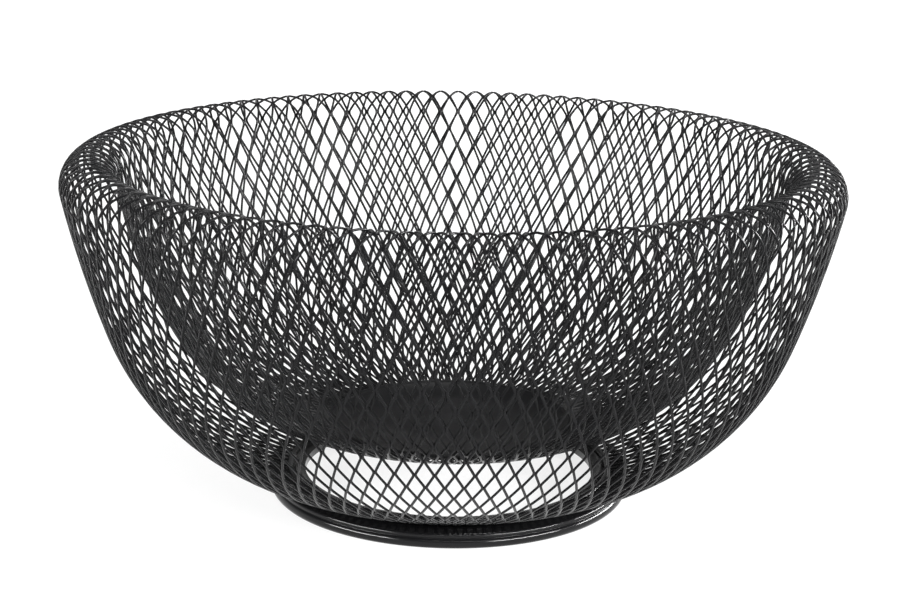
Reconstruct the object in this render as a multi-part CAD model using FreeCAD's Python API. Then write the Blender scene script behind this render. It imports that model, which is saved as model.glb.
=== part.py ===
import FreeCAD, Part
import math
import os

os.makedirs("parts", exist_ok=True)

# Overall size
overall_diameter = 320.0
overall_height = 145.0

# Mesh sleeve: outer wall, rolled rim and inner bowl are one sheet
mesh_thickness = 1.2
rim_roll_radius = 12.0
outer_rim_lean = 12.5
outer_foot_lean = 78.2
outer_arc_ratio = 1.9
inner_rim_lean = 8.0
inner_floor_lean = 84.0
inner_arc_ratio = 1.1

# Foot ring: flange, shoulder, upper bead, web and the bead it stands on
ring_sheet = 0.9
flange_height = 7.5
foot_diameter = 151.0
foot_bead_radius = 2.4
foot_land_width = 2.6
upper_bead_radius = 1.2
upper_bead_step = 0.7
shoulder_width = 6.2

# Clamp ring: holds the outer edge of the sheet, flange and lip round the hole
clamp_bead_radius = 1.5
clamp_flange_width = 6.4
lip_height = 3.5

# Floor of the inner bowl
floor_diameter = 100.0
floor_height = 29.2
floor_bead_radius = 1.25

# Clearances
bead_gap = 0.1
groove_gap = 0.1

# Sizes that follow from the ones above
roll_line_radius = rim_roll_radius - mesh_thickness / 2
roll_centre_radius = overall_diameter / 2 - rim_roll_radius
roll_centre_height = overall_height - rim_roll_radius
foot_bead_centre = foot_diameter / 2 - foot_bead_radius
foot_bead_height = math.sqrt(foot_bead_radius**2 - (foot_land_width / 2) ** 2)
upper_bead_centre = foot_diameter / 2 - upper_bead_step - upper_bead_radius
upper_bead_height = foot_bead_height + foot_bead_radius - bead_gap + upper_bead_radius / 2
clamp_bead_centre = upper_bead_centre - shoulder_width
clamp_bead_height = flange_height + clamp_bead_radius
hole_radius = clamp_bead_centre - clamp_flange_width
floor_radius = floor_diameter / 2


def section_point(radius, height):
    """Point of the half section, given by its radius and its height."""
    return FreeCAD.Vector(radius, 0, height)


def downhill(lean):
    """Unit heading that goes down and towards the axis, leaning from upright."""
    angle = math.radians(lean)
    return FreeCAD.Vector(-math.sin(angle), 0, -math.cos(angle))


def arc_through(start, heading, end):
    """Arc from start to end that leaves along the heading."""
    chord = end - start
    left = FreeCAD.Vector(-heading.z, 0, heading.x)
    reach = chord.dot(chord) / (2 * chord.dot(left))
    centre = start + left * reach
    first = math.atan2(start.z - centre.z, start.x - centre.x)
    last = math.atan2(end.z - centre.z, end.x - centre.x)
    sweep = (last - first + math.pi) % (2 * math.pi) - math.pi
    return centre, abs(reach), first, first + sweep


def wall_arcs(start, start_lean, end, end_lean, ratio):
    """Two tangent arcs that join a point under the rim to the edge of the sheet."""
    leave = downhill(start_lean)
    arrive = downhill(end_lean)
    span = end - start
    both = leave + arrive * ratio
    square = both.dot(both) - (1 + ratio) ** 2
    middle = -2 * span.dot(both)
    root = math.sqrt(middle**2 - 4 * square * span.dot(span))
    reach = (-middle - root) / (2 * square)
    if reach < 0:
        reach = (-middle + root) / (2 * square)
    near = start + leave * reach
    far = end - arrive * (reach * ratio)
    meet = near + (far - near) * (1 / (1 + ratio))
    turned = far - near
    turned.normalize()
    return [arc_through(start, leave, meet), arc_through(meet, turned, end)]


def arc_point(arc, share, shift):
    """Point at a share of an arc, shifted to the left of its direction."""
    centre, radius, first, last = arc
    angle = first + (last - first) * share
    side = math.copysign(1, last - first)
    reach = radius - side * shift
    return centre + FreeCAD.Vector(math.cos(angle) * reach, 0, math.sin(angle) * reach)


def arc_edge(arc, shift):
    """Edge that runs beside an arc at a constant distance."""
    start = arc_point(arc, 0, shift)
    middle = arc_point(arc, 0.5, shift)
    end = arc_point(arc, 1, shift)
    return Part.Arc(start, middle, end).toShape()


def turned_solid(edges):
    """Solid of revolution about the upright axis from a closed half section."""
    face = Part.Face(Part.Wire(edges))
    solid = face.revolve(FreeCAD.Vector(0, 0, 0), FreeCAD.Vector(0, 0, 1), 360)
    if solid.Volume < 0:
        solid.reverse()
    return solid


def sheet_solid(arcs, thickness):
    """Sheet that follows a chain of arcs all the way round."""
    half = thickness / 2
    left = [arc_edge(arc, half) for arc in arcs]
    right = [arc_edge(arc, -half) for arc in reversed(arcs)]
    end_cap = Part.makeLine(arc_point(arcs[-1], 1, half), arc_point(arcs[-1], 1, -half))
    start_cap = Part.makeLine(arc_point(arcs[0], 0, -half), arc_point(arcs[0], 0, half))
    return turned_solid(left + [end_cap] + right + [start_cap])


def flat_ring(inner, outer, bottom, top):
    """Flat ring, or a disc when the inner radius is nought."""
    disc = Part.makeCylinder(outer, top - bottom, section_point(0, bottom))
    if inner == 0:
        return disc
    return disc.cut(Part.makeCylinder(inner, top - bottom, section_point(0, bottom)))


def round_bead(centre_radius, centre_height, bead_radius):
    """Round bead that runs all the way round the axis."""
    return Part.makeTorus(centre_radius, bead_radius, section_point(0, centre_height))


def roll_point(angle):
    """Point of the rim roll at an angle measured from straight outwards."""
    turn = math.radians(angle)
    across = math.cos(turn) * roll_line_radius
    up = math.sin(turn) * roll_line_radius
    return section_point(roll_centre_radius + across, roll_centre_height + up)


def rim_line():
    """Section of the roll that turns the sheet over from the outer to the inner wall."""
    centre = section_point(roll_centre_radius, roll_centre_height)
    first = math.radians(-outer_rim_lean)
    last = math.radians(180 - inner_rim_lean)
    return [(centre, roll_line_radius, first, last)]


def outer_line():
    """Section of the outer wall from the rim down to the clamp ring."""
    start = roll_point(-outer_rim_lean)
    end = section_point(clamp_bead_centre, clamp_bead_height)
    return wall_arcs(start, outer_rim_lean, end, outer_foot_lean, outer_arc_ratio)


def inner_line():
    """Section of the inner bowl from the rim down to the floor plate."""
    start = roll_point(180 - inner_rim_lean)
    end = section_point(floor_radius, floor_height)
    return wall_arcs(start, inner_rim_lean, end, inner_floor_lean, inner_arc_ratio)


def edge_groove(arcs):
    """Cutter for the groove that the edge of the sheet sits in."""
    return sheet_solid(arcs, mesh_thickness + 2 * groove_gap)


def mesh_clamp_ring():
    """Flanged ring: bead curled round the outer mesh edge, lip round the hole."""
    top = flange_height + ring_sheet
    flange = flat_ring(hole_radius, clamp_bead_centre, flange_height, top)
    lip = flat_ring(hole_radius, hole_radius + ring_sheet, top - lip_height, top)
    bead = round_bead(clamp_bead_centre, clamp_bead_height, clamp_bead_radius)
    return bead.fuse([flange, lip]).removeSplitter().cut(edge_groove(outer_line()))


def foot_plate():
    """Flange under the clamp ring, then the shoulder that falls to the upper bead."""
    start = section_point(hole_radius + ring_sheet, flange_height)
    brow = section_point(clamp_bead_centre + bead_gap, flange_height)
    nose = section_point(upper_bead_centre, upper_bead_height + upper_bead_radius - bead_gap)
    drop = FreeCAD.Vector(0, 0, -ring_sheet)
    corners = [start, brow, nose, nose + drop, brow + drop, start + drop, start]
    return turned_solid(Part.makePolygon(corners).Edges)


def foot_ring():
    """Ring the basket stands on: flange, shoulder, upper bead, web and lower bead."""
    lower = round_bead(foot_bead_centre, foot_bead_height, foot_bead_radius)
    below = flat_ring(0, foot_diameter, -foot_diameter, 0)
    upper = round_bead(upper_bead_centre, upper_bead_height, upper_bead_radius)
    web_outer = upper_bead_centre + ring_sheet / 2
    web = flat_ring(web_outer - ring_sheet, web_outer, foot_bead_height, upper_bead_height)
    return lower.cut(below).fuse([upper, web, foot_plate()]).removeSplitter()


def floor_plate():
    """Disc with its edge curled round the inner mesh edge."""
    half = ring_sheet / 2
    disc = flat_ring(0, floor_radius, floor_height - half, floor_height + half)
    bead = round_bead(floor_radius, floor_height, floor_bead_radius)
    return bead.fuse(disc).removeSplitter().cut(edge_groove(inner_line()))


nodes = {
    "outer_mesh_wall": sheet_solid(outer_line(), mesh_thickness),
    "rolled_mesh_rim": sheet_solid(rim_line(), mesh_thickness),
    "inner_mesh_bowl": sheet_solid(inner_line(), mesh_thickness),
    "mesh_clamp_ring": mesh_clamp_ring(),
    "foot_ring": foot_ring(),
    "floor_plate": floor_plate(),
}

for name, shape in nodes.items():
    shape.exportStep("parts/" + name + ".step")
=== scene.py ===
"""Visual model of a double-walled produce basket of black expanded-metal mesh."""

import logging
import math
from dataclasses import dataclass, field
from enum import Enum

import bmesh
import bpy
from mathutils import Matrix, Vector


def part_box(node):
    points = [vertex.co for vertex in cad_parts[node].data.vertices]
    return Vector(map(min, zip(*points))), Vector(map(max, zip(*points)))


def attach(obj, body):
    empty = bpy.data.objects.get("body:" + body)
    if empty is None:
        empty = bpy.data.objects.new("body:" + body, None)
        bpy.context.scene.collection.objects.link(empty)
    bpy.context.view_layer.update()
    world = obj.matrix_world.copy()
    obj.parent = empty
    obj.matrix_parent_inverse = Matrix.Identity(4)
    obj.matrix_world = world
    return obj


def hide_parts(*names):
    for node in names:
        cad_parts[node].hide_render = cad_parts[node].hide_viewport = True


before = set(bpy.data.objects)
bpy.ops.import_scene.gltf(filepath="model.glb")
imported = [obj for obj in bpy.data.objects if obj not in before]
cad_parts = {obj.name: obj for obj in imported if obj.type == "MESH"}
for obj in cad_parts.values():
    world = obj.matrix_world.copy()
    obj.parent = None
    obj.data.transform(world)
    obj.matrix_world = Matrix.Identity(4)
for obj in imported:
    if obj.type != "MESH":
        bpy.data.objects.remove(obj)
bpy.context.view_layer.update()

MM = 0.001
UP = Vector((0.0, 0.0, 1.0))
SECTION_TURN = Vector((0.0, -1.0, 0.0))
WHITE = (1.0, 1.0, 1.0, 1.0)
WELD = 0.002 * MM
SEAM_WELD = 0.0005 * MM

log = logging.getLogger("basket")


class Zone(Enum):
    """Stretch of the mesh sleeve, named by the node it stands for."""

    OUTER = "outer_mesh_wall"
    RIM = "rolled_mesh_rim"
    INNER = "inner_mesh_bowl"


class Hand(Enum):
    """Which of the two strands of a cell a set of strands repeats."""

    FIRST = 0
    SECOND = 1


# ---------------------------------------------------------------------------
# Finishes
# ---------------------------------------------------------------------------


@dataclass(frozen=True)
class NodeTools:
    """Small helpers for the node tree of one material or group."""

    tree: bpy.types.NodeTree

    def add(self, kind: str, **values: object) -> bpy.types.Node:
        """Adds a node and sets its plain properties.

        Args:
            kind: Type name of the node.
            values: Properties of the node by name.

        Returns:
            The new node.
        """
        node = self.tree.nodes.new(kind)
        for name, value in values.items():
            setattr(node, name, value)
        return node

    def link(self, source: bpy.types.NodeSocket, target: bpy.types.NodeSocket) -> None:
        """Joins an output to an input."""
        self.tree.links.new(source, target)

    def noise(self, place: bpy.types.NodeSocket, scale: float, detail: float) -> bpy.types.NodeSocket:
        """Adds a noise pattern at a place.

        Args:
            place: Coordinates the pattern is read at.
            scale: Number of waves in a metre.
            detail: Levels of finer pattern on top.

        Returns:
            The grey value of the pattern.
        """
        node = self.add("ShaderNodeTexNoise")
        node.inputs["Scale"].default_value = scale
        node.inputs["Detail"].default_value = detail
        self.link(place, node.inputs["Vector"])
        return node.outputs["Fac"]

    def ramp(
        self, value: bpy.types.NodeSocket, low: float, high: float, to_low: float, to_high: float
    ) -> bpy.types.NodeSocket:
        """Stretches a value from one range to another and clamps it.

        Args:
            value: Value to stretch.
            low: Value that becomes to_low.
            high: Value that becomes to_high.
            to_low: Result at the low end.
            to_high: Result at the high end.

        Returns:
            The stretched value.
        """
        node = self.add("ShaderNodeMapRange", clamp=True)
        node.inputs["From Min"].default_value = low
        node.inputs["From Max"].default_value = high
        node.inputs["To Min"].default_value = to_low
        node.inputs["To Max"].default_value = to_high
        self.link(value, node.inputs["Value"])
        return node.outputs["Result"]

    def combine(
        self, operation: str, first: bpy.types.NodeSocket, second: bpy.types.NodeSocket | float
    ) -> bpy.types.NodeSocket:
        """Adds a maths node on two values.

        Args:
            operation: Name of the maths operation.
            first: First value.
            second: Second value, as a socket or a number.

        Returns:
            The result.
        """
        node = self.add("ShaderNodeMath", operation=operation)
        self.link(first, node.inputs[0])
        if isinstance(second, (int, float)):
            node.inputs[1].default_value = second
        else:
            self.link(second, node.inputs[1])
        return node.outputs[0]


@dataclass(frozen=True)
class GroupShell:
    """A named shader node group with its inputs and outputs."""

    name: str
    inputs: tuple[tuple[str, str, float], ...]
    outputs: tuple[tuple[str, str], ...]

    def start(self) -> tuple[NodeTools, bpy.types.Node, bpy.types.Node]:
        """Makes the group's tree with its sockets.

        Returns:
            Tools for the tree, its input node and its output node.
        """
        tree = bpy.data.node_groups.new(self.name, "ShaderNodeTree")
        for name, kind, value in self.inputs:
            socket = tree.interface.new_socket(name, in_out="INPUT", socket_type=kind)
            if kind == "NodeSocketFloat":
                socket.default_value = value
        for name, kind in self.outputs:
            tree.interface.new_socket(name, in_out="OUTPUT", socket_type=kind)
        tools = NodeTools(tree)
        return tools, tools.add("NodeGroupInput"), tools.add("NodeGroupOutput")


def coat_grain_group() -> bpy.types.NodeTree:
    """Grain of a sprayed powder coat: fine orange peel and uneven gloss.

    Returns:
        Group with outputs Height and Gloss, both between nought and one.
    """
    shell = GroupShell(
        "coat_grain",
        (("Place", "NodeSocketVector", 0.0), ("Peel", "NodeSocketFloat", 900.0)),
        (("Height", "NodeSocketFloat"), ("Gloss", "NodeSocketFloat")),
    )
    tools, source, result = shell.start()
    place = source.outputs["Place"]
    peel = tools.noise(place, 900.0, 2.0)
    tools.link(source.outputs["Peel"], peel.node.inputs["Scale"])
    cloud = tools.noise(place, 45.0, 3.0)
    speck = tools.ramp(tools.noise(place, 2600.0, 1.0), 0.62, 0.74, 0.0, 1.0)
    tools.link(tools.combine("ADD", peel, tools.combine("MULTIPLY", speck, 0.25)), result.inputs["Height"])
    tools.link(tools.ramp(tools.combine("ADD", cloud, peel), 0.75, 1.25, 0.0, 1.0), result.inputs["Gloss"])
    return tools.tree


def settled_dust_group() -> bpy.types.NodeTree:
    """Thin dust on faces that look up, broken up by noise.

    Returns:
        Group with the output Mask.
    """
    shell = GroupShell(
        "settled_dust",
        (("Place", "NodeSocketVector", 0.0), ("Amount", "NodeSocketFloat", 0.1)),
        (("Mask", "NodeSocketFloat"),),
    )
    tools, source, result = shell.start()
    normal = tools.add("ShaderNodeNewGeometry").outputs["Normal"]
    split = tools.add("ShaderNodeSeparateXYZ")
    tools.link(normal, split.inputs[0])
    upward = tools.ramp(split.outputs["Z"], 0.35, 1.0, 0.0, 1.0)
    patchy = tools.ramp(tools.noise(source.outputs["Place"], 220.0, 4.0), 0.4, 0.75, 0.15, 1.0)
    mask = tools.combine("MULTIPLY", upward, patchy)
    tools.link(tools.combine("MULTIPLY", mask, source.outputs["Amount"]), result.inputs["Mask"])
    return tools.tree


def rubbed_edge_group() -> bpy.types.NodeTree:
    """Places that rub on the worktop or on hands, within a band of height.

    Returns:
        Group with the output Mask.
    """
    shell = GroupShell(
        "rubbed_edge",
        (
            ("Place", "NodeSocketVector", 0.0),
            ("Height", "NodeSocketFloat", 0.0),
            ("Reach", "NodeSocketFloat", 0.001),
        ),
        (("Mask", "NodeSocketFloat"),),
    )
    tools, source, result = shell.start()
    split = tools.add("ShaderNodeSeparateXYZ")
    tools.link(source.outputs["Place"], split.inputs[0])
    offset = tools.combine("SUBTRACT", split.outputs["Z"], source.outputs["Height"])
    gap = tools.combine("ABSOLUTE", offset, 0.0)
    near = tools.combine("SUBTRACT", tools.combine("DIVIDE", gap, source.outputs["Reach"]), 1.0)
    band = tools.ramp(near, -1.0, 0.0, 1.0, 0.0)
    worn = tools.ramp(tools.noise(source.outputs["Place"], 320.0, 5.0), 0.5, 0.68, 0.0, 1.0)
    tools.link(tools.combine("MULTIPLY", band, worn), result.inputs["Mask"])
    return tools.tree


@dataclass(frozen=True)
class EffectGroups:
    """The shader node groups that the finishes share."""

    grain: bpy.types.NodeTree
    dust: bpy.types.NodeTree
    rub: bpy.types.NodeTree

    @staticmethod
    def make() -> "EffectGroups":
        """Builds each group once."""
        return EffectGroups(coat_grain_group(), settled_dust_group(), rubbed_edge_group())


@dataclass(frozen=True)
class PowderCoat:
    """Black semi-gloss powder coat on steel."""

    name: str
    colour: tuple[float, float, float, float] = (0.0038, 0.0038, 0.0042, 1.0)
    dust_colour: tuple[float, float, float, float] = (0.03, 0.0295, 0.029, 1.0)
    shine: float = 0.12
    gloss_low: float = 0.18
    gloss_high: float = 0.27
    peel_scale: float = 900.0
    bump: float = 0.12
    bump_reach: float = 0.00005
    dust: float = 0.12
    rub_height: float = 0.0
    rub_reach: float = 0.0015
    rub_change: float = 0.12
    dust_dulling: float = 0.5
    ior: float = 1.5

    def make(self, groups: EffectGroups) -> bpy.types.Material:
        """Builds the material.

        Args:
            groups: Shared effects.

        Returns:
            The material.
        """
        material = bpy.data.materials.new(self.name)
        material.use_nodes = True
        tools = NodeTools(material.node_tree)
        shader = material.node_tree.nodes["Principled BSDF"]
        shader.inputs["IOR"].default_value = self.ior
        shader.inputs["Metallic"].default_value = 0.0
        shader.inputs["Specular IOR Level"].default_value = self.shine
        place = tools.add("ShaderNodeTexCoord").outputs["Object"]
        grain = self.effect(tools, groups.grain, place)
        grain.inputs["Peel"].default_value = self.peel_scale
        dust = self.effect(tools, groups.dust, place)
        dust.inputs["Amount"].default_value = self.dust
        rub = self.effect(tools, groups.rub, place)
        rub.inputs["Height"].default_value = self.rub_height
        rub.inputs["Reach"].default_value = self.rub_reach
        mix = tools.add("ShaderNodeMix", data_type="RGBA")
        mix.inputs["A"].default_value = self.colour
        mix.inputs["B"].default_value = self.dust_colour
        tools.link(dust.outputs["Mask"], mix.inputs["Factor"])
        tools.link(mix.outputs["Result"], shader.inputs["Base Color"])
        rough = tools.ramp(grain.outputs["Gloss"], 0.0, 1.0, self.gloss_low, self.gloss_high)
        dulling = tools.combine("MULTIPLY", dust.outputs["Mask"], self.dust_dulling)
        dulled = tools.combine("ADD", rough, dulling)
        polish = tools.combine("MULTIPLY", rub.outputs["Mask"], self.rub_change)
        rubbed = tools.combine("SUBTRACT", dulled, polish)
        tools.link(rubbed, shader.inputs["Roughness"])
        bump = tools.add("ShaderNodeBump")
        bump.inputs["Strength"].default_value = self.bump
        bump.inputs["Distance"].default_value = self.bump_reach
        tools.link(grain.outputs["Height"], bump.inputs["Height"])
        tools.link(bump.outputs["Normal"], shader.inputs["Normal"])
        return material

    @staticmethod
    def effect(
        tools: NodeTools, group: bpy.types.NodeTree, place: bpy.types.NodeSocket
    ) -> bpy.types.Node:
        """Places a shared effect in the material.

        Args:
            tools: Tools for the material's tree.
            group: The shared effect.
            place: Coordinates it is read at.

        Returns:
            The group node.
        """
        node = tools.add("ShaderNodeGroup", node_tree=group)
        tools.link(place, node.inputs["Place"])
        return node


# ---------------------------------------------------------------------------
# Sections and pieces
# ---------------------------------------------------------------------------


@dataclass(frozen=True)
class Arc:
    """Arc of a half section, in the plane of radius and height, in millimetres."""

    centre: Vector
    radius: float
    first: float
    last: float

    @property
    def length(self) -> float:
        """Length along the arc."""
        return abs(self.last - self.first) * self.radius

    def at(self, distance: float) -> tuple[Vector, Vector]:
        """Place and heading at a distance from the arc's start.

        Args:
            distance: Distance along the arc.

        Returns:
            The place and the unit heading, as radius and height.
        """
        turn = math.copysign(1.0, self.last - self.first)
        angle = self.first + turn * distance / self.radius
        out = Vector((math.cos(angle), math.sin(angle)))
        return self.centre + out * self.radius, Vector((-out.y, out.x)) * turn

    @staticmethod
    def through(start: Vector, heading: Vector, end: Vector) -> "Arc":
        """The arc from start to end that leaves along the heading.

        Args:
            start: Where the arc starts.
            heading: Its unit heading there.
            end: Where it ends.

        Returns:
            The arc.
        """
        chord = end - start
        left = Vector((-heading.y, heading.x))
        reach = chord.length_squared / (2.0 * chord.dot(left))
        centre = start + left * reach
        first = math.atan2(start.y - centre.y, start.x - centre.x)
        last = math.atan2(end.y - centre.y, end.x - centre.x)
        sweep = (last - first + math.pi) % (2.0 * math.pi) - math.pi
        return Arc(centre, abs(reach), first, first + sweep)


def downhill(lean: float) -> Vector:
    """Unit heading that goes down and towards the axis, leaning from upright."""
    angle = math.radians(lean)
    return Vector((-math.sin(angle), -math.cos(angle)))


def wall_arcs(start: Vector, start_lean: float, end: Vector, end_lean: float, ratio: float) -> list[Arc]:
    """Two tangent arcs that join a point under the rim to the edge of the sheet.

    Args:
        start: Point under the rim.
        start_lean: Lean of the wall there, in degrees from upright.
        end: Edge of the sheet.
        end_lean: Lean of the wall at the edge.
        ratio: Length of the second tangent over the first.

    Returns:
        The two arcs, from the rim to the edge.
    """
    leave, arrive = downhill(start_lean), downhill(end_lean)
    span = end - start
    both = leave + arrive * ratio
    square = both.length_squared - (1.0 + ratio) ** 2
    middle = -2.0 * span.dot(both)
    root = math.sqrt(middle**2 - 4.0 * square * span.length_squared)
    reach = (-middle - root) / (2.0 * square)
    if reach < 0.0:
        reach = (-middle + root) / (2.0 * square)
    near = start + leave * reach
    far = end - arrive * (reach * ratio)
    meet = near + (far - near) / (1.0 + ratio)
    return [Arc.through(start, leave, meet), Arc.through(meet, (far - near).normalized(), end)]


@dataclass
class SleeveLine:
    """Middle line of the mesh sheet, from the foot over the rim to the floor."""

    half_sheet: float = 0.6
    roll_radius: float = 11.4
    outer_rim_lean: float = 12.5
    outer_foot_lean: float = 78.2
    outer_ratio: float = 1.9
    inner_rim_lean: float = 8.0
    inner_floor_lean: float = 84.0
    inner_ratio: float = 1.1
    clamp_bead: float = 1.5
    floor_bead: float = 1.25
    groove_gap: float = 0.1
    arcs: list[Arc] = field(default_factory=list)
    rim_start: float = 0.0
    rim_end: float = 0.0

    def build(self) -> None:
        """Works out the arcs from the boxes of the nodes they belong to."""
        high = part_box(Zone.RIM.value)[1]
        clamp_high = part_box("mesh_clamp_ring")[1]
        floor_low, floor_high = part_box("floor_plate")
        reach = self.roll_radius + self.half_sheet
        centre = Vector((high.x / MM - reach, high.z / MM - reach))
        foot_edge = self.edge_radius(clamp_high.x / MM, self.clamp_bead, self.outer_foot_lean)
        floor_edge = self.edge_radius(floor_high.x / MM, self.floor_bead, self.inner_floor_lean)
        foot = Vector((foot_edge, clamp_high.z / MM - self.clamp_bead))
        floor = Vector((floor_edge, (floor_low.z + floor_high.z) / 2.0 / MM))
        first = math.radians(-self.outer_rim_lean)
        last = math.radians(180.0 - self.inner_rim_lean)
        rim = Arc(centre, self.roll_radius, first, last)
        outside, inside = rim.at(0.0)[0], rim.at(rim.length)[0]
        outer = wall_arcs(outside, self.outer_rim_lean, foot, self.outer_foot_lean, self.outer_ratio)
        inner = wall_arcs(inside, self.inner_rim_lean, floor, self.inner_floor_lean, self.inner_ratio)
        back = [Arc(a.centre, a.radius, a.last, a.first) for a in reversed(outer)]
        self.arcs = [*back, rim, *inner]
        self.rim_start = sum(a.length for a in back)
        self.rim_end = self.rim_start + rim.length

    def edge_radius(self, outer: float, bead: float, lean: float) -> float:
        """Radius of a bead's centre line, from the outer lip of its groove.

        Args:
            outer: Largest radius of the ring, at the lower lip of the groove.
            bead: Radius of the bead.
            lean: Lean of the sheet where it enters the groove.

        Returns:
            Radius of the centre line of the bead.
        """
        opening = math.asin((self.half_sheet + self.groove_gap) / bead)
        return outer - bead * math.cos(opening - math.radians(90.0 - lean))

    @property
    def length(self) -> float:
        """Length of the whole line."""
        return sum(a.length for a in self.arcs)

    def at(self, distance: float) -> tuple[Vector, Vector]:
        """Place and outward normal at a distance from the foot edge.

        Args:
            distance: Distance along the line.

        Returns:
            The place and the unit normal on the outer side, as radius and height.
        """
        rest = min(max(distance, 0.0), self.length)
        for arc in self.arcs:
            if rest <= arc.length or arc is self.arcs[-1]:
                place, heading = arc.at(min(rest, arc.length))
                return place, Vector((heading.y, -heading.x))
            rest -= arc.length
        raise ValueError("the line has no arcs")

    def span(self, zone: Zone) -> tuple[float, float]:
        """Finds where a zone of the sleeve lies on the line.

        Args:
            zone: Stretch of the sleeve.

        Returns:
            Distances at which it starts and ends.
        """
        return {
            Zone.OUTER: (0.0, self.rim_start),
            Zone.RIM: (self.rim_start, self.rim_end),
            Zone.INNER: (self.rim_end, self.length),
        }[zone]


@dataclass
class Piece:
    """A finished piece of the basket: its mesh, its finish and its place."""

    name: str
    nodes: tuple[str, ...]
    coat: bpy.types.Material

    def finish(self, shape: bmesh.types.BMesh, turn_out: bool = True) -> bpy.types.Object:
        """Turns a shape into an object of the basket.

        Args:
            shape: The finished shape, in metres. It is freed.
            turn_out: Recalculates the normals so that faces look outwards.

        Returns:
            The new object.
        """
        if turn_out:
            bmesh.ops.recalc_face_normals(shape, faces=shape.faces)
        for face in shape.faces:
            face.smooth = True
        mesh = bpy.data.meshes.new(self.name)
        shape.to_mesh(mesh)
        shape.free()
        mesh.materials.append(self.coat)
        thing = bpy.data.objects.new(self.name, mesh)
        bpy.context.scene.collection.objects.link(thing)
        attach(thing, "root")
        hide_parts(*self.nodes)
        log.info("%s: %d faces", self.name, len(mesh.polygons))
        return thing


# ---------------------------------------------------------------------------
# Mesh sleeve
# ---------------------------------------------------------------------------


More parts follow.
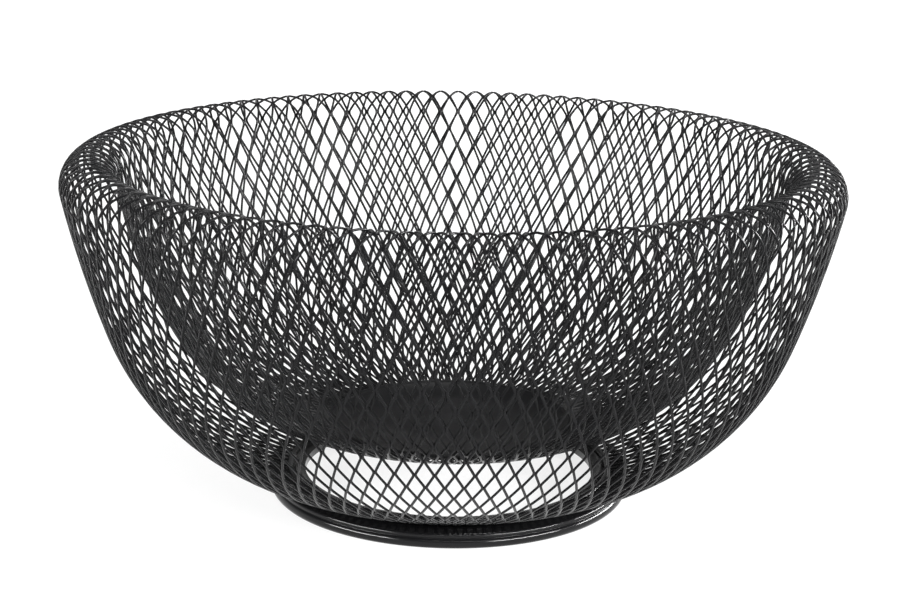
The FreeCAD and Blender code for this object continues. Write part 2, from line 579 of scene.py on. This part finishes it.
@dataclass
class MeshSleeve:
    """Expanded-metal sleeve: outer wall, rolled rim and inner bowl."""

    line: SleeveLine
    cells: int = 112
    strand_length: float = 8.66
    strand_width: float = 1.0
    strand_depth: float = 0.92
    bond_share: float = 0.06
    bend_share: float = 0.17
    bend_level: float = 0.8
    first_bond_angle: float = 39.5
    turn: float = 0.018
    bond_overlap: float = 0.08
    sides: int = 8
    fullness: float = 0.97
    probe: float = 0.12
    least_step: float = 0.05
    levels: list[float] = field(default_factory=list)
    first_row: int = 0

    def build(self, coats: dict[Zone, bpy.types.Material]) -> None:
        """Builds the strands of each zone.

        Args:
            coats: Finish of each zone.
        """
        self.find_levels()
        log.info("sleeve: line %.1f mm, %d rows of bonds", self.line.length, len(self.levels))
        for zone in (Zone.OUTER, Zone.INNER):
            for hand in Hand:
                shape = bmesh.new()
                self.strand(shape, zone, hand)
                self.repeat(shape)
                name = f"{zone.value}_{hand.name.lower()}_strands"
                Piece(name, (zone.value,), coats[zone]).finish(shape, turn_out=False)
        shape = bmesh.new()
        for hand in Hand:
            self.strand(shape, Zone.RIM, hand)
        self.repeat(shape)
        Piece("rolled_mesh_rim_strands", (Zone.RIM.value,), coats[Zone.RIM]).finish(shape, turn_out=False)

    def pitch(self, distance: float) -> float:
        """Distance from one strand to the next, round the basket."""
        return math.pi / self.cells * self.line.at(distance)[0].x

    def swing(self, distance: float) -> float:
        """Furthest that a strand stands to one side of its middle line."""
        return self.pitch(distance) / 2.0 - self.strand_width / 2.0 + self.bond_overlap

    def find_levels(self) -> None:
        """Finds the rows of bonds, each a strand's length from the last."""
        lead = math.radians(self.first_bond_angle + self.line.outer_rim_lean)
        start = self.line.rim_start + lead * self.line.roll_radius
        down = self.walk(start, -1.0)
        up = self.walk(start, 1.0)
        self.levels = [*reversed(down), start, *up]
        self.first_row = len(down)

    def walk(self, start: float, way: float) -> list[float]:
        """Rows of bonds from a first row towards one end of the sheet.

        Args:
            start: Distance of the first row.
            way: One towards the floor, minus one towards the foot.

        Returns:
            Distances of the rows, with one row past the end.
        """
        rows: list[float] = []
        here = start
        while 0.0 <= here <= self.line.length:
            across = 2.0 * self.swing(here)
            here += way * math.sqrt(self.strand_length**2 - across**2)
            rows.append(here)
        return rows

    def side_at(self, share: float) -> float:
        """How far a strand stands to its side between two bonds.

        Args:
            share: Share of the way from one bond to the next.

        Returns:
            One at the first bond, minus one at the next.
        """
        if share > 0.5:
            return -self.side_at(1.0 - share)
        if share <= self.bond_share:
            return 1.0
        if share <= self.bend_share:
            part = (share - self.bond_share) / (self.bend_share - self.bond_share)
            return 1.0 + (self.bend_level - 1.0) * part
        return self.bend_level * (0.5 - share) / (0.5 - self.bend_share)

    def strand_place(self, distance: float, hand: Hand) -> Vector:
        """Place of a strand's middle line, in millimetres.

        Args:
            distance: Distance along the sheet's line.
            hand: Which strand of the cell.

        Returns:
            The place in the basket's frame.
        """
        row = max(i for i, level in enumerate(self.levels[:-1]) if level <= distance or i == 0)
        share = (distance - self.levels[row]) / (self.levels[row + 1] - self.levels[row])
        odd = (row - self.first_row + hand.value) % 2
        side = self.side_at(min(max(share, 0.0), 1.0)) * (-1.0 if odd else 1.0)
        radius, height = self.line.at(distance)[0]
        angle = self.turn + math.pi / self.cells * (hand.value - 0.5) + side * self.swing(distance) / radius
        return Vector((radius * math.cos(angle), radius * math.sin(angle), height))

    def stations(self, low: float, high: float) -> list[float]:
        """Distances at which a strand's section is set.

        Args:
            low: Where the strand starts.
            high: Where it ends.

        Returns:
            The distances in order, ends included.
        """
        shares = (self.bond_share, self.bend_share, 0.5, 1.0 - self.bend_share, 1.0 - self.bond_share)
        found = [low, high]
        for start, end in zip(self.levels, self.levels[1:]):
            found += [start + (end - start) * share for share in shares]
        inside = sorted(d for d in found if low <= d <= high)
        return [d for i, d in enumerate(inside) if i == 0 or d - inside[i - 1] > self.least_step]

    def station_frame(self, distance: float, hand: Hand) -> Matrix:
        """Frame of a strand's section: across, out of the sheet, along.

        Args:
            distance: Distance along the sheet's line.
            hand: Which strand of the cell.

        Returns:
            Matrix that carries a circle of radius one to the section, in metres.
        """
        place = self.strand_place(distance, hand)
        ahead = self.strand_place(min(distance + self.probe, self.line.length), hand)
        behind = self.strand_place(max(distance - self.probe, 0.0), hand)
        along = (ahead - behind).normalized()
        flat = self.line.at(distance)[1]
        turn = math.atan2(place.y, place.x)
        out = Vector((flat.x * math.cos(turn), flat.x * math.sin(turn), flat.y))
        across = out.cross(along).normalized()
        out = along.cross(across)
        columns = (across * self.strand_width / 2.0, out * self.strand_depth / 2.0, along)
        matrix = Matrix([c * MM for c in columns]).transposed().to_4x4()
        matrix.translation = place * MM
        return matrix

    def strand(self, shape: bmesh.types.BMesh, zone: Zone, hand: Hand) -> None:
        """Draws one strand through a zone, from one end to the other.

        Args:
            shape: Shape the strand is added to.
            zone: Stretch of the sleeve.
            hand: Which strand of the cell.
        """
        distances = self.stations(*self.line.span(zone))
        here = self.station_frame(distances[0], hand)
        turn = Matrix.Rotation(math.pi / self.sides, 4, "Z")
        reach = self.fullness / math.cos(math.pi / self.sides)
        start = bmesh.ops.create_circle(
            shape, cap_ends=False, segments=self.sides, radius=reach, matrix=here @ turn
        )["verts"]
        ring = list({edge for vert in start for edge in vert.link_edges})
        first = ring
        for distance in distances[1:]:
            there = self.station_frame(distance, hand)
            made = bmesh.ops.extrude_edge_only(shape, edges=ring)["geom"]
            verts = [g for g in made if isinstance(g, bmesh.types.BMVert)]
            ring = [g for g in made if isinstance(g, bmesh.types.BMEdge)]
            bmesh.ops.transform(shape, matrix=there @ here.inverted(), verts=verts)
            here = there
        for loop in (first, ring):
            bmesh.ops.holes_fill(shape, edges=loop, sides=self.sides)
        bmesh.ops.recalc_face_normals(shape, faces=shape.faces)

    def repeat(self, shape: bmesh.types.BMesh) -> None:
        """Repeats the strands of one cell all the way round.

        Args:
            shape: Shape that holds the strands of the first cell.
        """
        steps = self.cells - 1
        bmesh.ops.spin(
            shape,
            geom=[*shape.verts, *shape.edges, *shape.faces],
            cent=(0.0, 0.0, 0.0),
            axis=UP,
            angle=2.0 * math.pi * steps / self.cells,
            steps=steps,
            use_duplicate=True,
        )


# ---------------------------------------------------------------------------
# Pressed rings and floor
# ---------------------------------------------------------------------------


@dataclass
class SectionPen:
    """Draws the half section of a turned piece, in millimetres, then turns it."""

    shape: bmesh.types.BMesh
    tip: bmesh.types.BMVert

    @staticmethod
    def start(radius: float, height: float) -> "SectionPen":
        """Puts the pen down at a radius and a height."""
        shape = bmesh.new()
        return SectionPen(shape, shape.verts.new(Vector((radius, 0.0, height)) * MM))

    def line_to(self, radius: float, height: float) -> None:
        """Draws a straight line.

        Args:
            radius: Radius at its end.
            height: Height at its end.
        """
        made = bmesh.ops.extrude_vert_indiv(self.shape, verts=[self.tip])
        self.tip = made["verts"][0]
        self.tip.co = Vector((radius, 0.0, height)) * MM

    def arc(self, centre: Vector, degrees: float, steps: int = 8) -> None:
        """Draws an arc round a centre, anticlockwise if positive.

        Args:
            centre: Centre as radius and height.
            degrees: Angle of the arc.
            steps: Number of short lines in it.
        """
        made = bmesh.ops.spin(
            self.shape,
            geom=[self.tip],
            cent=Vector((centre.x, 0.0, centre.y)) * MM,
            axis=SECTION_TURN,
            angle=math.radians(degrees),
            steps=steps,
            use_duplicate=False,
        )
        self.tip = [g for g in made["geom_last"] if isinstance(g, bmesh.types.BMVert)][0]

    def turn(self, steps: int) -> bmesh.types.BMesh:
        """Closes the section and turns it all the way round.

        Args:
            steps: Number of steps in the full turn.

        Returns:
            The turned shape.
        """
        bmesh.ops.remove_doubles(self.shape, verts=self.shape.verts, dist=WELD)
        bmesh.ops.spin(
            self.shape,
            geom=[*self.shape.verts, *self.shape.edges],
            cent=(0.0, 0.0, 0.0),
            axis=UP,
            angle=2.0 * math.pi,
            steps=steps,
            use_merge=True,
            use_duplicate=False,
        )
        bmesh.ops.remove_doubles(self.shape, verts=self.shape.verts, dist=SEAM_WELD)
        return self.shape


def crossing(first: Vector, first_radius: float, second: Vector, second_radius: float, left: bool) -> Vector:
    """Point where two circles of a section cross.

    Args:
        first: Centre of the first circle.
        first_radius: Its radius.
        second: Centre of the second circle.
        second_radius: Its radius.
        left: True for the crossing on the left of the way from first to second.

    Returns:
        The crossing.
    """
    span = second - first
    gap = span.length
    along = (gap**2 + first_radius**2 - second_radius**2) / (2.0 * gap)
    across = math.sqrt(first_radius**2 - along**2)
    ahead = span / gap
    side = Vector((-ahead.y, ahead.x)) * (across if left else -across)
    return first + ahead * along + side


def bearing(centre: Vector, point: Vector) -> float:
    """Direction from a centre to a point, in degrees."""
    return math.degrees(math.atan2(point.y - centre.y, point.x - centre.x))


def clockwise(first: float, last: float) -> float:
    """Angle of the clockwise turn from one bearing to another, in degrees."""
    return -((first - last) % 360.0)


@dataclass
class FootRing:
    """Pressed ring the basket stands on, with its two beads, in millimetres."""

    sheet: float = 0.9
    lower_bead: float = 2.4
    upper_bead: float = 1.2
    upper_step: float = 0.7
    shoulder: float = 6.2
    flange: float = 6.4
    bead_gap: float = 0.1
    land: float = 1.3
    brow: float = 0.8
    brow_under: float = 0.6
    tuck: tuple[float, float] = (-0.9, 0.35)
    turns: int = 288

    def build(self, coat: bpy.types.Material) -> None:
        """Builds the ring from the box of its node.

        Args:
            coat: Finish of the ring.
        """
        low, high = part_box("foot_ring")
        outer, ground, top = high.x / MM, low.z / MM, high.z / MM
        lower = Vector((outer - self.lower_bead, ground + math.sqrt(self.lower_bead**2 - self.land**2)))
        upper_height = lower.y + self.lower_bead - self.bead_gap + self.upper_bead / 2.0
        upper = Vector((outer - self.upper_step - self.upper_bead, upper_height))
        land_out = Vector((lower.x + self.land, ground))
        land_in = Vector((lower.x - self.land, ground))
        brow_radius = upper.x - self.shoulder + self.bead_gap
        inner = upper.x - self.shoulder - self.flange + self.sheet
        nose = Vector((upper.x, upper.y + self.upper_bead))
        slope = math.degrees(math.atan2(top - nose.y, nose.x - brow_radius))
        outside = crossing(upper, self.upper_bead, lower, self.lower_bead, left=True)
        inside = crossing(upper, self.upper_bead, lower, self.lower_bead, left=False)
        pen = SectionPen.start(inner, top)
        pen.line_to(brow_radius - self.brow * math.tan(math.radians(slope / 2.0)), top)
        pen.arc(Vector((pen.tip.co.x / MM, top - self.brow)), -slope, 4)
        steep = math.radians(slope)
        touch = Vector((math.sin(steep), math.cos(steep))) * self.upper_bead + upper
        pen.line_to(touch.x, touch.y)
        pen.arc(upper, clockwise(90.0 - slope, bearing(upper, outside)), 12)
        pen.arc(lower, clockwise(bearing(lower, outside), bearing(lower, land_out)), 18)
        pen.line_to(land_in.x, land_in.y)
        pen.arc(lower, clockwise(bearing(lower, land_in), bearing(lower, inside)), 18)
        under = upper + Vector(self.tuck) * self.upper_bead
        pen.arc(upper, clockwise(bearing(upper, inside), bearing(upper, under)), 5)
        pen.line_to(brow_radius, top - self.sheet - self.bead_gap)
        pen.line_to(brow_radius - self.brow_under, top - self.sheet)
        pen.line_to(inner, top - self.sheet)
        pen.line_to(inner, top)
        Piece("foot_ring_pressed", ("foot_ring",), coat).finish(pen.turn(self.turns))


@dataclass
class ClampRing:
    """Flanged ring whose bead holds the outer edge of the mesh, in millimetres."""

    sheet: float = 0.9
    bead: float = 1.5
    corner: float = 0.45
    inner_corner: float = 0.3
    flange: float = 6.4
    turns: int = 288

    def build(self, coat: bpy.types.Material, line: SleeveLine) -> None:
        """Builds the ring from the box of its node.

        Args:
            coat: Finish of the ring.
            line: Line of the mesh sheet, whose edge the bead holds.
        """
        low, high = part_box("mesh_clamp_ring")
        edge = line.at(0.0)[0]
        bottom, seat = low.z / MM, edge.y - self.bead
        top, hole = seat + self.sheet, edge.x - self.flange
        half = self.sheet / 2.0
        pen = SectionPen.start(hole, bottom + half)
        pen.line_to(hole, top - self.corner)
        pen.arc(Vector((hole + self.corner, top - self.corner)), -90.0, 6)
        rise = edge.y - top
        join = edge.x - math.sqrt(self.bead**2 - rise**2)
        pen.line_to(join, top)
        pen.arc(edge, math.degrees(math.asin(rise / self.bead)) - 270.0, 24)
        pen.line_to(edge.x, seat)
        pen.line_to(hole + self.sheet + self.inner_corner, seat)
        pen.line_to(hole + self.sheet, seat - self.inner_corner)
        pen.line_to(hole + self.sheet, bottom + half)
        pen.arc(Vector((hole + half, bottom + half)), -180.0, 6)
        Piece("mesh_clamp_ring_pressed", ("mesh_clamp_ring",), coat).finish(pen.turn(self.turns))


@dataclass
class FloorPlate:
    """Disc that closes the inner bowl, its edge curled round the mesh, in millimetres."""

    sheet: float = 0.9
    bead: float = 1.25
    turns: int = 192

    def build(self, coat: bpy.types.Material, line: SleeveLine) -> None:
        """Builds the plate from the edge of the mesh that it holds.

        Args:
            coat: Finish of the plate.
            line: Line of the mesh sheet.
        """
        edge = line.at(line.length)[0]
        half = self.sheet / 2.0
        join = math.sqrt(self.bead**2 - half**2)
        lift = math.degrees(math.atan2(half, join))
        pen = SectionPen.start(0.0, edge.y + half)
        pen.line_to(edge.x / 2.0, edge.y + half)
        pen.line_to(edge.x - join, edge.y + half)
        pen.arc(edge, -(360.0 - 2.0 * lift), 28)
        pen.line_to(edge.x / 2.0, edge.y - half)
        pen.line_to(0.0, edge.y - half)
        Piece("floor_plate_curled", ("floor_plate",), coat).finish(pen.turn(self.turns))


# ---------------------------------------------------------------------------
# Studio
# ---------------------------------------------------------------------------


@dataclass(frozen=True)
class SoftBox:
    """Long soft lamp aimed at a point on the basket's axis."""

    name: str
    place: Vector
    width: float
    depth: float
    power: float

    def build(self, target: Vector) -> None:
        """Hangs the lamp.

        Args:
            target: Point it shines at.
        """
        data = bpy.data.lights.new(self.name, "AREA")
        data.shape = "RECTANGLE"
        data.size, data.size_y = self.width, self.depth
        data.energy = self.power
        lamp = bpy.data.objects.new(self.name, data)
        lamp.location = self.place
        lamp.rotation_euler = (target - self.place).to_track_quat("-Z", "Y").to_euler()
        bpy.context.scene.collection.objects.link(lamp)


@dataclass
class Studio:
    """Camera, pale floor, backdrop and lamps."""

    eye: tuple[float, float, float] = (0.0, -0.8278, 0.3052)
    dip: float = 15.13
    roll: float = 1.0
    lens: float = 82.11
    aside: float = -0.0017
    lift: float = 0.0025
    floor_colour: tuple[float, float, float, float] = (0.86, 0.86, 0.86, 1.0)
    floor_seen: tuple[float, float, float, float] = (0.2, 0.2, 0.2, 1.0)
    floor_white: float = 0.8
    near: float = 0.35
    far: float = 1.1
    sensor: float = 36.0
    floor_reach: float = 6.0
    sky: float = 0.28
    wall_top: float = 0.1
    ceiling: float = 0.35

    def build(self) -> None:
        """Sets up the studio round the basket."""
        self.camera()
        self.floor()
        self.backdrop()
        middle = Vector((0.0, 0.0, 0.07))
        for lamp in (
            SoftBox("key_box", Vector((1.2, -1.0, 0.6)), 1.3, 0.1, 48.0),
            SoftBox("side_box", Vector((1.55, 0.55, 0.5)), 1.2, 0.1, 43.0),
            SoftBox("fill_box", Vector((-1.3, -0.85, 0.55)), 1.2, 0.1, 36.0),
            SoftBox("front_box", Vector((0.2, -1.4, 1.1)), 1.2, 0.12, 18.0),
            SoftBox("top_box", Vector((0.3, 0.3, 2.2)), 0.7, 0.4, 26.0),
        ):
            lamp.build(middle)
        bpy.context.scene.view_settings.view_transform = "Standard"

    def camera(self) -> None:
        """Places the camera."""
        data = bpy.data.cameras.new("view")
        data.sensor_width = self.sensor
        data.lens = self.lens
        data.shift_x, data.shift_y = self.aside, self.lift
        data.clip_start, data.clip_end = 0.01, 50.0
        camera = bpy.data.objects.new("view", data)
        pitch = Matrix.Rotation(math.radians(90.0 - self.dip), 4, "X")
        roll = Matrix.Rotation(math.radians(self.roll), 4, "Z")
        camera.matrix_world = Matrix.Translation(Vector(self.eye)) @ pitch @ roll
        bpy.context.scene.collection.objects.link(camera)
        bpy.context.scene.camera = camera

    @staticmethod
    def seen_by(tools: NodeTools) -> bpy.types.NodeSocket:
        """Tells the rays that show the background: camera, glossy and clear rays.

        Args:
            tools: Tools for the material's tree.

        Returns:
            One for those rays and nought for the rest.
        """
        path = tools.add("ShaderNodeLightPath")
        seen = tools.combine("MAXIMUM", path.outputs["Is Camera Ray"], path.outputs["Is Glossy Ray"])
        return tools.combine("MAXIMUM", seen, path.outputs["Is Transmission Ray"])

    def floor(self) -> None:
        """Makes the pale floor, which keeps the basket's shadow."""
        shape = bmesh.new()
        bmesh.ops.create_grid(shape, x_segments=1, y_segments=1, size=self.floor_reach)
        mesh = bpy.data.meshes.new("studio_floor")
        shape.to_mesh(mesh)
        shape.free()
        floor = bpy.data.objects.new("studio_floor", mesh)
        material = bpy.data.materials.new("studio_floor")
        material.use_nodes = True
        tools = NodeTools(material.node_tree)
        material.node_tree.nodes.clear()
        seen = self.seen_by(tools)
        tint = tools.add("ShaderNodeMix", data_type="RGBA")
        tint.inputs["A"].default_value = self.floor_colour
        tint.inputs["B"].default_value = self.floor_seen
        tools.link(seen, tint.inputs["Factor"])
        matte = tools.add("ShaderNodeBsdfDiffuse")
        tools.link(tint.outputs["Result"], matte.inputs["Color"])
        glow = tools.add("ShaderNodeEmission")
        reach = tools.add("ShaderNodeVectorMath", operation="LENGTH")
        tools.link(tools.add("ShaderNodeTexCoord").outputs["Object"], reach.inputs[0])
        white = tools.ramp(reach.outputs["Value"], self.near, self.far, self.floor_white, 1.0)
        tools.link(tools.combine("MULTIPLY", seen, white), glow.inputs["Strength"])
        both = tools.add("ShaderNodeAddShader")
        tools.link(matte.outputs[0], both.inputs[0])
        tools.link(glow.outputs[0], both.inputs[1])
        tools.link(both.outputs[0], tools.add("ShaderNodeOutputMaterial").inputs["Surface"])
        mesh.materials.append(material)
        bpy.context.scene.collection.objects.link(floor)

    def backdrop(self) -> None:
        """Makes the world: white where it is seen, softer where it lights.

        Glossy and clear rays see it white from the floor up to the ceiling, which is dim.
        """
        world = bpy.data.worlds.new("studio")
        bpy.context.scene.world = world
        world.use_nodes = True
        tools = NodeTools(world.node_tree)
        ground = world.node_tree.nodes["Background"]
        ground.inputs["Color"].default_value = WHITE
        path = tools.add("ShaderNodeLightPath")
        split = tools.add("ShaderNodeSeparateXYZ")
        tools.link(tools.add("ShaderNodeTexCoord").outputs["Generated"], split.inputs[0])
        wall = tools.ramp(split.outputs["Z"], self.wall_top, self.ceiling, 1.0, 0.0)
        mirror = tools.combine("MAXIMUM", path.outputs["Is Glossy Ray"], path.outputs["Is Transmission Ray"])
        shown = tools.combine("MULTIPLY", mirror, wall)
        seen = tools.combine("MAXIMUM", path.outputs["Is Camera Ray"], shown)
        tools.link(tools.ramp(seen, 0.0, 1.0, self.sky, 1.0), ground.inputs["Strength"])


def main() -> None:
    """Builds the basket, piece by piece, and the studio round it."""
    logging.basicConfig(level=logging.INFO, format="%(name)s %(message)s")
    groups = EffectGroups.make()
    strands = PowderCoat("strand_coat", peel_scale=1400.0, bump_reach=0.00003, dust=0.1)
    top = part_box(Zone.RIM.value)[1].z
    rim = PowderCoat("rim_coat", peel_scale=1400.0, bump_reach=0.00003, rub_height=top, rub_reach=0.012)
    ring = PowderCoat("ring_coat", shine=0.24, gloss_low=0.13, gloss_high=0.18, dust=0.02, bump=0.05)
    plate = PowderCoat("plate_coat", shine=0.08, gloss_low=0.36, gloss_high=0.46, dust=0.08)
    strand_coat = strands.make(groups)
    ring_coat = ring.make(groups)
    line = SleeveLine()
    line.build()
    sleeve = MeshSleeve(line)
    sleeve.build({Zone.OUTER: strand_coat, Zone.RIM: rim.make(groups), Zone.INNER: strand_coat})
    ClampRing().build(ring_coat, line)
    FootRing().build(ring_coat)
    FloorPlate().build(plate.make(groups), line)
    Studio().build()
    bpy.context.view_layer.update()


if __name__ == "__main__":
    main()
